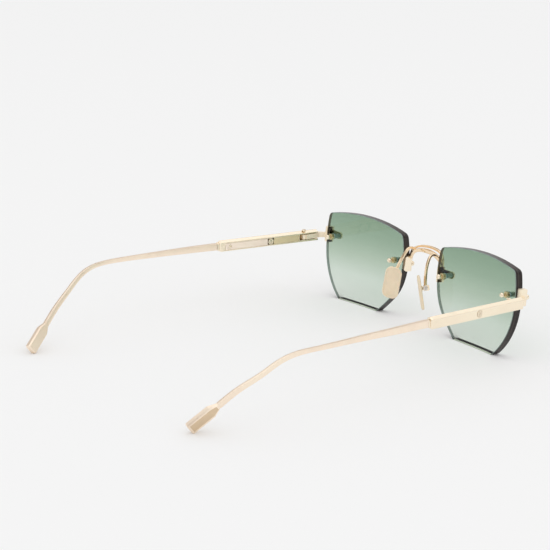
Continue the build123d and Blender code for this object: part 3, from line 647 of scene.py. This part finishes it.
class LensSettings(bpy.types.PropertyGroup):
    top_tint: bpy.props.FloatVectorProperty(name="Top tint", description="What the top lets through", subtype="COLOR",
                                            default=(0.485, 0.6, 0.5), min=0, max=1)
    upper_tint: bpy.props.FloatVectorProperty(name="Upper tint", description="What the upper part lets through",
                                              subtype="COLOR", default=(0.57, 0.672, 0.58), min=0, max=1)
    middle_tint: bpy.props.FloatVectorProperty(name="Middle tint", description="What the middle lets through",
                                               subtype="COLOR", default=(0.697, 0.775, 0.697), min=0, max=1)
    low_tint: bpy.props.FloatVectorProperty(name="Low tint", description="What the lower part lets through",
                                            subtype="COLOR", default=(0.83, 0.885, 0.836), min=0, max=1)
    foot_tint: bpy.props.FloatVectorProperty(name="Foot tint", description="What the bottom lets through",
                                             subtype="COLOR", default=(0.905, 0.932, 0.905), min=0, max=1)
    edge_colour: bpy.props.FloatVectorProperty(name="Edge", description="Colour of the polished edge",
                                               subtype="COLOR", default=(0.026, 0.02, 0.019), min=0, max=1)
    line_colour: bpy.props.FloatVectorProperty(name="Edge line", description="Colour of the line seen in the edge",
                                               subtype="COLOR", default=(0.075, 0.06, 0.043), min=0, max=1)
    # The rear bevel's colour is painted sheen: a grey-green light line round the lens.
    bevel_sheen_colour: bpy.props.FloatVectorProperty(name="Bevel", description="Colour of the rear bevel",
                                                subtype="COLOR", default=(0.2, 0.26, 0.235), min=0, max=1)
    inner_edge: bpy.props.FloatVectorProperty(name="Inner edge", description="The edge seen through the lens",
                                              subtype="COLOR", default=(0.27, 0.33, 0.3), min=0, max=1)
    inner_top: bpy.props.FloatVectorProperty(name="Inner edge above", description="The same towards the top",
                                             subtype="COLOR", default=(0.15, 0.125, 0.09), min=0, max=1)
    foot_colour: bpy.props.FloatVectorProperty(name="Foot", description="What the flat under the lens lets through",
                                               subtype="COLOR", default=(0.82, 0.84, 0.77), min=0, max=1)
    edge_bevel: bpy.props.FloatProperty(name="Edge bevel", description="Width of the small bevel round the lens",
                                        default=0.22 * MM, min=0, max=1 * MM, unit="LENGTH", precision=5)


class PadSettings(bpy.types.PropertyGroup):
    colour: bpy.props.FloatVectorProperty(name="Colour", description="Colour of the nose pads", subtype="COLOR",
                                          default=(0.86, 0.72, 0.525), min=0, max=1)
    width: bpy.props.FloatProperty(name="Width", description="Across the pad", default=7.2 * MM, unit="LENGTH")
    length: bpy.props.FloatProperty(name="Length", description="Down the pad", default=14.6 * MM, unit="LENGTH")
    thickness: bpy.props.FloatProperty(name="Thickness", description="Through the pad", default=1.0 * MM,
                                       unit="LENGTH")
    rim: bpy.props.FloatProperty(name="Rim", description="Width of the raised rim", default=0.6 * MM, unit="LENGTH")


class StudioSettings(bpy.types.PropertyGroup):
    floor_colour: bpy.props.FloatVectorProperty(name="Floor", description="Colour of the studio paper",
                                                subtype="COLOR", default=(0.9, 0.9, 0.9), min=0, max=1)
    sky: bpy.props.FloatProperty(name="Room light", description="Strength of the even light", default=0.975, min=0)
    key_power: bpy.props.FloatProperty(name="Key light", description="Power of the soft key light", default=1.5,
                                       min=0, unit="POWER")


# ---- operators ----
class BuildPiece(bpy.types.Operator):
    """Base of the operators that each build one kind of piece."""
    bl_idname = "sunglasses.piece"
    bl_label = "Piece"

    def execute(self, context):
        self.build(context.scene)
        return {"FINISHED"}


class BuildLenses(BuildPiece):
    """Builds both tinted lenses with bevelled, polished edges."""
    bl_idname = "sunglasses.lenses"
    bl_label = "Lenses"

    def build(self, scene):
        props = scene.sunglasses_lens
        grid, face_rings = lens_grid(props.edge_bevel / MM)
        around = grid.shape[1]
        dark, under_plate = tuple(props.edge_colour), (0.4, 0.33, 0.24)
        materials = [lens_tint(props), lens_edge(props, "Polished lens edge", dark, tuple(props.inner_edge)),
                     lens_line(props), lens_foot(props), lens_bevel_sheen(props),
                     lens_edge(props, "Front of the lens edge", dark),
                     lens_edge(props, "Lens edge under a plate", under_plate, tuple(props.foot_colour))]
        for side, sign in SIDES:
            name = f"{side}_lens"
            piece = make_piece(f"{side}_tinted_lens", mirrored(grid, sign), "front", materials,
                               replaces=[name])
            ring = np.arange(len(piece.data.polygons)) // around
            centres = np.empty(len(piece.data.polygons) * 3, np.float32)
            piece.data.polygons.foreach_get("center", centres)
            centres = centres.reshape(-1, 3)
            edge_end = len(grid) - face_rings
            index = np.full(len(ring), TINT, np.int32)
            index[(ring >= face_rings - 1) & (ring < edge_end)] = EDGE
            index[(index == EDGE) & (centres[:, 2] < 0.05 * MM)] = FOOT
            # The rear bevel rings get the grey-green painted sheen.
            index[(ring >= face_rings - 1) & (ring < face_rings + 1)] = BEVEL
            index[(ring > face_rings + 2) & (ring < edge_end)] = FRONT_EDGE
            index[ring == face_rings + 2] = LINE
            index[deep_inside(centres, f"{side}_nasal_plate") & (index != TINT)] = UNDER_PLATE
            piece.data.polygons.foreach_set("material_index", index)


class BuildBridge(BuildPiece):
    """Builds the two bowed bars between the lenses and finishes the plates at their ends."""
    bl_idname = "sunglasses.bridge"
    bl_label = "Bridge"

    def build(self, scene):
        lower = [(1.8, 1.5), (1.6, 1.45), (1.4, 1.4), (1.3, 1.4), (1.4, 1.6)]
        upper = [(1.15, 1.0), (1.15, 1.0), (1.1, 0.95), (1.05, 0.95), (1.0, 0.9)]
        for name, line, sizes in (("lower", LOWER_BAR, lower), ("upper", UPPER_BAR, upper)):
            grid = carried(both_ways(line), both_ways(sizes), (0, 1, 0), 0.28, 121)
            make_piece(f"bridge_{name}_bowed_bar", grid, "front", [finish_of("wire")],
                       replaces=[f"bridge_{name}_bar"])
        for side, _ in SIDES:
            dress(f"{side}_nasal_plate", "gold", 0.12)
            dress(f"{side}_nasal_trim_screw", "gold", 0.0)


class BuildPadArms(BuildPiece):
    """Builds the curved arms that carry the nose pads and finishes the boxes and screws at their ends."""
    bl_idname = "sunglasses.pad_arms"
    bl_label = "Pad arms"

    def build(self, scene):
        grid = carried(PAD_ARM, [(1.15, 1.0)] * 2, (1, 0, 0), 0.4, 81)
        for side, sign in SIDES:
            make_piece(f"{side}_curved_pad_arm", mirrored(grid, sign), "front", [finish_of("wire")],
                       replaces=[f"{side}_pad_arm"])
            dress(f"{side}_pad_box", "gold", 0.1)
            dress(f"{side}_pad_screw", "steel", 0.05)


class BuildNosePads(BuildPiece):
    """Builds the rimmed nose pads and finishes the tongues they rock on."""
    bl_idname = "sunglasses.nose_pads"
    bl_label = "Nose pads"

    def build(self, scene):
        props = scene.sunglasses_pad
        material = pad_plastic(props)
        grid = nose_pad_grid(props)
        for side, sign in SIDES:
            make_piece(f"{side}_rimmed_nose_pad", mirrored(grid, sign), f"{side}_pad", [material],
                       smooth_below=40, replaces=[f"{side}_nose_pad"])
            dress(f"{side}_pad_tongue", "gold", 0.05)


class BuildFixings(BuildPiece):
    """Finishes the sleeves, nuts and screws that hold the lenses, and the endpieces."""
    bl_idname = "sunglasses.fixings"
    bl_label = "Lens fixings and endpieces"

    def build(self, scene):
        for side, _ in SIDES:
            dress(f"{side}_lens_bushings", "sleeve", 0.06)
            dress(f"{side}_lens_nuts", "olive", 0.08)
            dress(f"{side}_lens_screws", "gold", 0.04)
            dress(f"{side}_endpiece", "satin", 0.12)
            dress(f"{side}_temporal_trim_screw", "gold", 0.0)


class BuildTempleBoxes(BuildPiece):
    """Finishes the facetted temple boxes with their inlays, covers, screws and collars."""
    bl_idname = "sunglasses.temple_boxes"
    bl_label = "Temple boxes"

    def build(self, scene):
        finishes = {"temple_box": ("box", "gold", 0.1), "box_inlay": ("inlay", "olive_metal", 0.05),
                    "box_cover": ("pale", "pale_gold", 0.06), "box_screw": ("screw", "gold", 0.06),
                    "box_ring_nut": ("gold", "gold", 0.08), "cover_screw": ("gold", "gold", 0.04),
                    "hinge_pin": ("gold", "gold", 0.06), "wire_collar": ("gold", "gold", 0.06)}
        for side, _ in SIDES:
            for name, (finish, slot, edge) in finishes.items():
                dress(f"{side}_{name}", finish, edge)


class BuildTempleWires(BuildPiece):
    """Builds the tapering wires that bend down behind the ears."""
    bl_idname = "sunglasses.temple_wires"
    bl_label = "Temple wires"

    def build(self, scene):
        grid = carried(WIRE, WIRE_SIZES, (1, 0, 0), 0.2, 221)
        for side, sign in SIDES:
            make_piece(f"{side}_bent_wire", mirrored(grid, sign), f"{side}_temple", [finish_of("soft")],
                       replaces=[f"{side}_temple_wire"])


class BuildTempleTips(BuildPiece):
    """Finishes the flared metal tips and builds the panels set into them."""
    bl_idname = "sunglasses.temple_tips"
    bl_label = "Temple tips"

    def build(self, scene):
        grid = tip_panel_grid()
        for side, sign in SIDES:
            dress(f"{side}_temple_tip", "soft", 0.12)
            make_piece(f"{side}_tip_panel", mirrored(grid, sign), f"{side}_temple", [finish_of("tan")],
                       replaces=[f"{side}_tip_inlay"])


class BuildStudio(BuildPiece):
    """Builds the pale floor, the soft lights and the camera."""
    bl_idname = "sunglasses.studio"
    bl_label = "Studio"

    def build(self, scene):
        props = scene.sunglasses_studio
        self.floor(props)
        self.room(scene, props)
        self.lamp(props)
        self.camera(scene)

    def floor(self, props):
        """A square grid of points, z = -FLOOR_DROP, so that it lies a hair below what stands on it."""
        count = FLOOR_POINTS
        steps = np.linspace(-FLOOR_HALF, FLOOR_HALF, count)
        x, y = np.meshgrid(steps, steps, indexing="ij")
        places = np.stack([x, y, np.full_like(x, -FLOOR_DROP)], -1).reshape(-1, 3)
        row, col = np.meshgrid(np.arange(count - 1), np.arange(count - 1), indexing="ij")
        first = (row * count + col).ravel()
        quads = np.stack([first, first + count, first + count + 1, first + 1], -1)
        mesh = bpy.data.meshes.new("Studio floor")
        mesh.from_pydata(places.tolist(), [], quads.tolist())
        mesh.materials.append(floor_paper(props))
        floor = bpy.data.objects.new("Studio floor", mesh)
        bpy.context.scene.collection.objects.link(floor)

    def room(self, scene, props):
        """Even white light, with darker bands by height that only reflections see, so that metal shows its edges."""
        world = bpy.data.worlds.new("Soft room")
        world.use_nodes = True
        tree = world.node_tree
        coords, parts = tree.nodes.new("ShaderNodeTexCoord"), tree.nodes.new("ShaderNodeSeparateXYZ")
        ramp, path = tree.nodes.new("ShaderNodeValToRGB"), tree.nodes.new("ShaderNodeLightPath")
        mix = tree.nodes.new("ShaderNodeMix")
        mix.data_type = "RGBA"
        stops = [(0.0, 0.55), (0.1, 0.9), (0.27, 1.05), (0.36, 0.3), (0.46, 0.26), (0.56, 0.95), (0.8, 1.15),
                 (1.0, 0.7)]
        elements = ramp.color_ramp.elements
        while len(elements) < len(stops):
            elements.new(0.5)
        for element, (at, value) in zip(elements, stops):
            element.position = at
            warmth = max(0.0, 0.9 - value) * 0.6
            element.color = (value, value * (1 - 0.6 * warmth), value * (1 - warmth), 1.0)
        tree.links.new(coords.outputs["Generated"], parts.inputs["Vector"])
        tree.links.new(parts.outputs["Z"], ramp.inputs["Fac"])
        tree.links.new(path.outputs["Is Glossy Ray"], mix.inputs[0])
        mix.inputs[6].default_value = (1.0, 1.0, 1.0, 1.0)
        tree.links.new(ramp.outputs["Color"], mix.inputs[7])
        background = tree.nodes["Background"]
        tree.links.new(mix.outputs[2], background.inputs["Color"])
        background.inputs["Strength"].default_value = props.sky
        scene.world = world
        scene.view_settings.view_transform = "Standard"

    def lamp(self, props):
        light = bpy.data.lights.new("Key light", "AREA")
        light.size = LAMP_SIZE
        light.energy = props.key_power
        lamp = bpy.data.objects.new("Key light", light)
        lamp.location = LAMP_PLACE
        lamp.rotation_euler = (-Vector(LAMP_PLACE)).to_track_quat("-Z", "Y").to_euler()
        bpy.context.scene.collection.objects.link(lamp)

    def camera(self, scene):
        camera = bpy.data.objects.new("Camera", bpy.data.cameras.new("Camera"))
        camera.data.lens = CAMERA_LENS
        camera.data.sensor_width = CAMERA_SENSOR
        camera.location = CAMERA_PLACE
        level = math.cos(CAMERA_DIP)
        sight = Vector((math.sin(CAMERA_TURN) * level, -math.cos(CAMERA_TURN) * level, -math.sin(CAMERA_DIP)))
        camera.rotation_euler = sight.to_track_quat("-Z", "Y").to_euler()
        scene.collection.objects.link(camera)
        scene.camera = camera


class SunglassesPanel(bpy.types.Panel):
    """Lists the settings and the builders in the sidebar."""
    bl_idname = "VIEW3D_PT_sunglasses"
    bl_label = "Sunglasses"
    bl_space_type = "VIEW_3D"
    bl_region_type = "UI"
    bl_category = "Sunglasses"

    def draw(self, context):
        for group in SETTINGS:
            box = self.layout.box()
            settings = getattr(context.scene, group)
            for key in settings.__annotations__:
                box.prop(settings, key)
        for builder in BUILDERS:
            self.layout.operator(builder.bl_idname)


SETTINGS = {"sunglasses_metal": MetalSettings, "sunglasses_lens": LensSettings, "sunglasses_pad": PadSettings,
            "sunglasses_studio": StudioSettings}
BUILDERS = (BuildLenses, BuildBridge, BuildPadArms, BuildNosePads, BuildFixings, BuildTempleBoxes, BuildTempleWires,
            BuildTempleTips, BuildStudio)


def register():
    for cls in (*SETTINGS.values(), *BUILDERS, SunglassesPanel):
        bpy.utils.register_class(cls)
    for name, cls in SETTINGS.items():
        setattr(bpy.types.Scene, name, bpy.props.PointerProperty(type=cls))


def unregister():
    for name in SETTINGS:
        delattr(bpy.types.Scene, name)
    for cls in reversed((*SETTINGS.values(), *BUILDERS, SunglassesPanel)):
        bpy.utils.unregister_class(cls)


def main():
    register()
    for builder in BUILDERS:
        group, name = builder.bl_idname.split(".")
        getattr(getattr(bpy.ops, group), name)()


if __name__ == "__main__":
    main()
